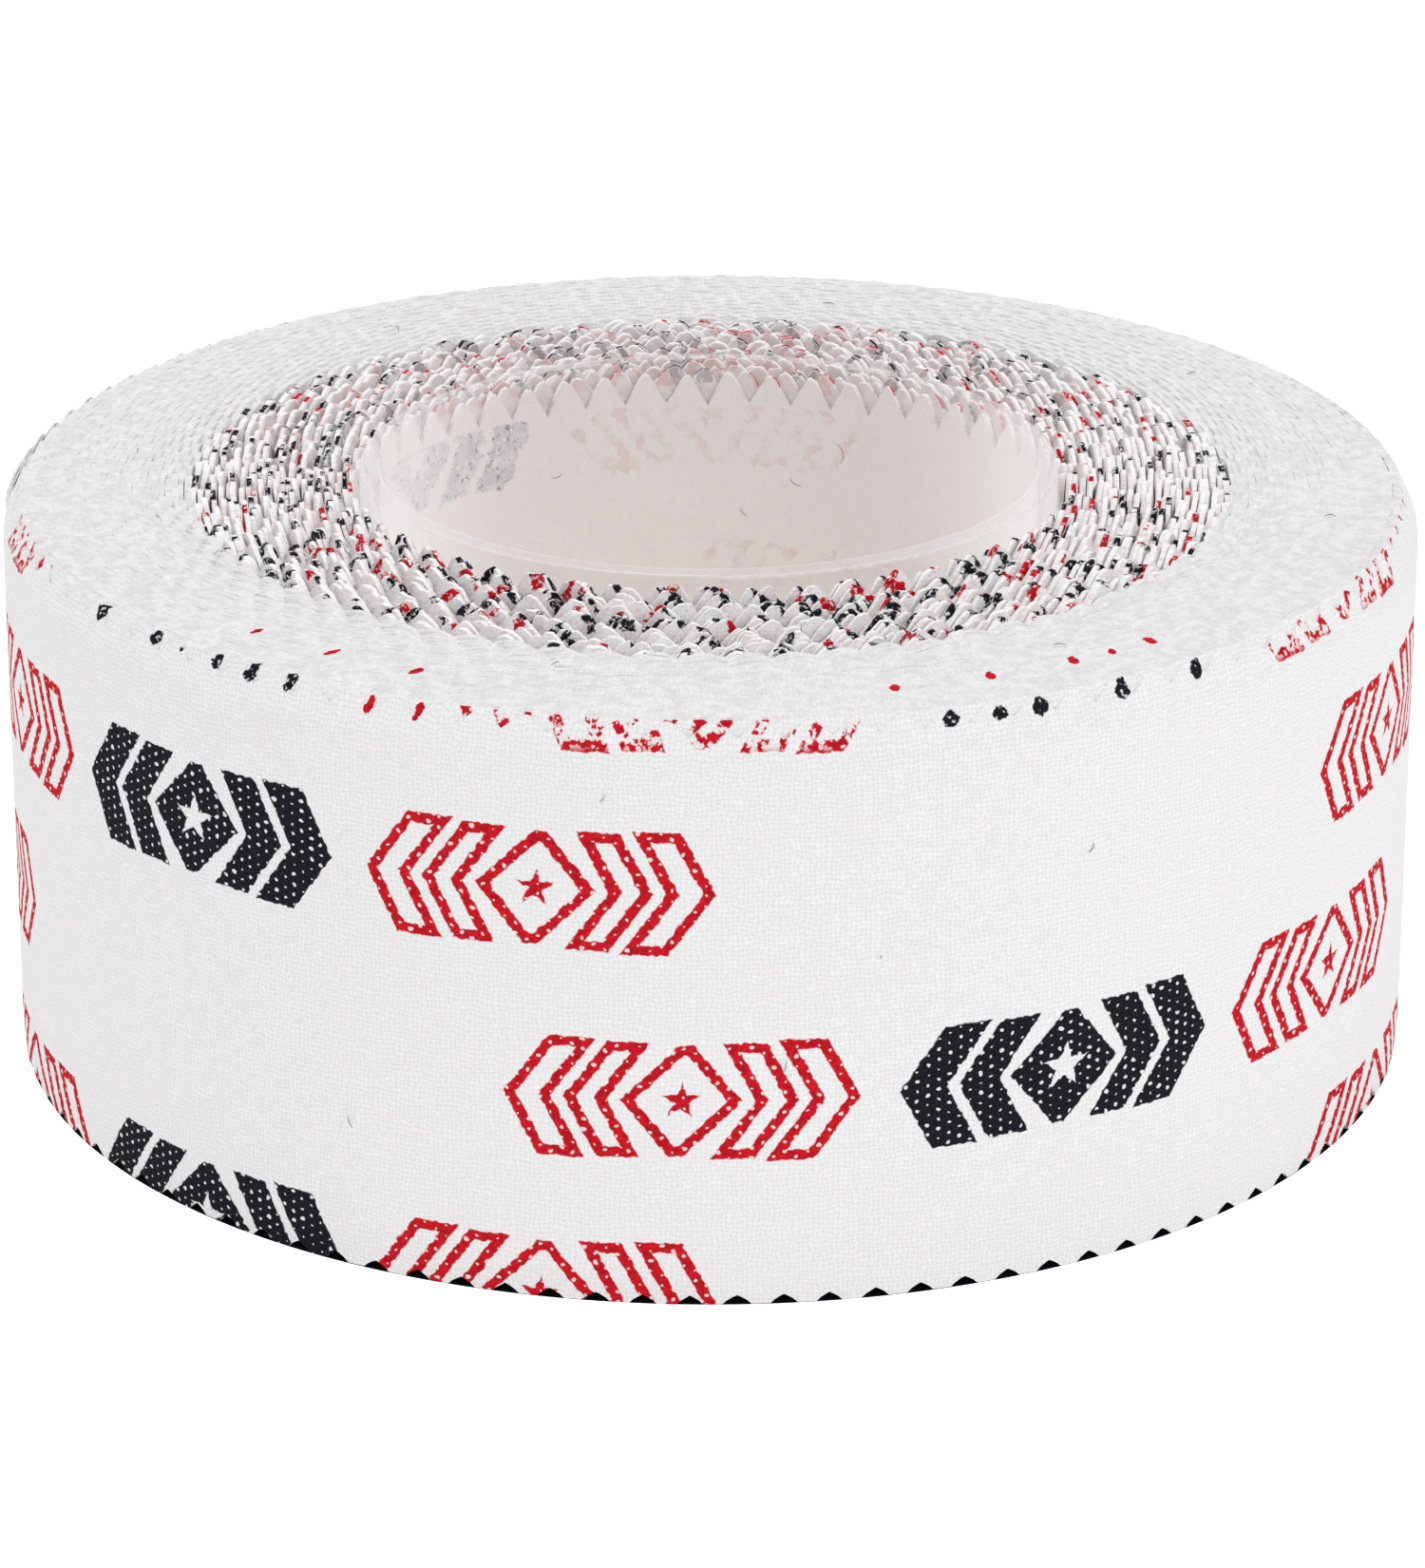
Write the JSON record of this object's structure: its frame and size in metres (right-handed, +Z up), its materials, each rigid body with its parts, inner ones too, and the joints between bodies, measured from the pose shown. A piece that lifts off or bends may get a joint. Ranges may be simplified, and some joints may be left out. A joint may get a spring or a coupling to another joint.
{
  "type": "hand wrap tape roll",
  "caption": "Roll of pinked-edge adhesive cotton tape wound on a clear tube core, for wrapping a fighter's hands, with a tail that peels off the roll.",
  "frame": {"origin": "on the roll's axis, in the plane of its lower edge, where the bore of the core opens", "axes": "+Z up along the roll's axis; the tail starts at +Y and lies along the roll towards -X"},
  "size_m": [0.0935, 0.0933, 0.039],
  "materials": {
    "core_clear": "clear, slightly milky, glossy",
    "cotton_cloth": "fine plain weave, matt, printed with a sparse two-colour pattern",
    "adhesive": "thin off-white tacky coat, satin"
  },
  "bodies": {
    "roll": {"core_tube": "core_clear", "wound_cloth": "cotton_cloth", "wound_adhesive": "adhesive"},
    "tail_1": {"tail_cloth_1": "cotton_cloth", "tail_adhesive_1": "adhesive"},
    "tail_2": {"tail_cloth_2": "cotton_cloth", "tail_adhesive_2": "adhesive"},
    "tail_3": {"tail_cloth_3": "cotton_cloth", "tail_adhesive_3": "adhesive"},
    "tail_4": {"tail_cloth_4": "cotton_cloth", "tail_adhesive_4": "adhesive"},
    "tail_5": {"tail_cloth_5": "cotton_cloth", "tail_adhesive_5": "adhesive"},
    "tail_6": {"tail_cloth_6": "cotton_cloth", "tail_adhesive_6": "adhesive"}
  },
  "joints": [
    {"name": "tail_peel", "type": "hinge", "parent": "roll", "child": "tail_1", "pos_m": [-0.00175, 0.04674, 0.01905], "axis": [0, 0, -1], "range_deg": [0, 120]},
    {"name": "tail_uncurl", "type": "hinge", "parent": "tail_1", "child": "tail_2", "pos_m": [-0.01309, 0.04493, 0.01905], "axis": [0, 0, -1], "range_deg": [0, 14.11]},
    {"name": "tail_uncurl_2", "type": "hinge", "parent": "tail_2", "child": "tail_3", "pos_m": [-0.02366, 0.04041, 0.01905], "axis": [0, 0, -1], "range_deg": [0, 14.11]},
    {"name": "tail_uncurl_3", "type": "hinge", "parent": "tail_3", "child": "tail_4", "pos_m": [-0.0328, 0.03345, 0.01905], "axis": [0, 0, -1], "range_deg": [0, 14.11]},
    {"name": "tail_uncurl_4", "type": "hinge", "parent": "tail_4", "child": "tail_5", "pos_m": [-0.03997, 0.02446, 0.01905], "axis": [0, 0, -1], "range_deg": [0, 14.11]},
    {"name": "tail_uncurl_5", "type": "hinge", "parent": "tail_5", "child": "tail_6", "pos_m": [-0.04473, 0.01401, 0.01905], "axis": [0, 0, -1], "range_deg": [0, 14.11]}
  ],
  "couplings": [
    {"joint": "tail_uncurl_2", "follows": "tail_uncurl", "ratio": 1},
    {"joint": "tail_uncurl_3", "follows": "tail_uncurl", "ratio": 1},
    {"joint": "tail_uncurl_4", "follows": "tail_uncurl", "ratio": 1},
    {"joint": "tail_uncurl_5", "follows": "tail_uncurl", "ratio": 1}
  ]
}
